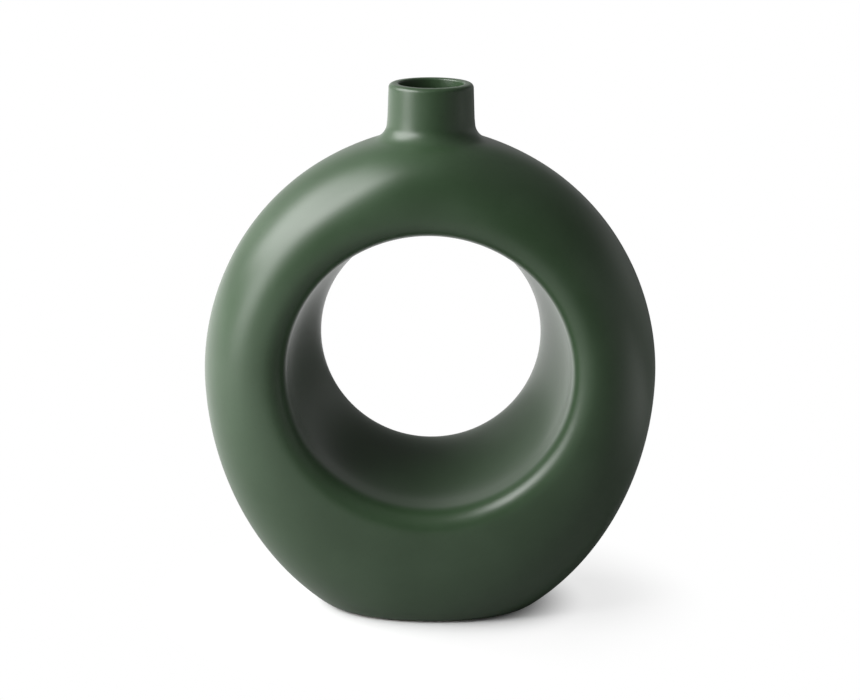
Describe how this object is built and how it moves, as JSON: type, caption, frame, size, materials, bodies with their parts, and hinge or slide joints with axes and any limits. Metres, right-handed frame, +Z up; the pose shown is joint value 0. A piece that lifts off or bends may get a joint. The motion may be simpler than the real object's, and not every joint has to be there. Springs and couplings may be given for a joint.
{
  "type": "donut vase",
  "caption": "Hollow oval ring vase with a wide round through-hole, a short cylindrical neck and a flat oval foot.",
  "frame": {"origin": "middle of the foot, on the surface that the vase stands on", "axes": "+Z up through the neck, +X to the right of the front, -Y out of the front face"},
  "size_m": [0.24, 0.088, 0.2874],
  "materials": {
    "glaze": "satin dark green glaze",
    "bare_clay": "bare fired stoneware"
  },
  "bodies": {
    "root": {"front_shell": "glaze", "back_shell": "glaze", "throat_sleeve": "glaze", "neck_collar": "glaze", "foot_plate": "bare_clay"}
  },
  "joints": []
}
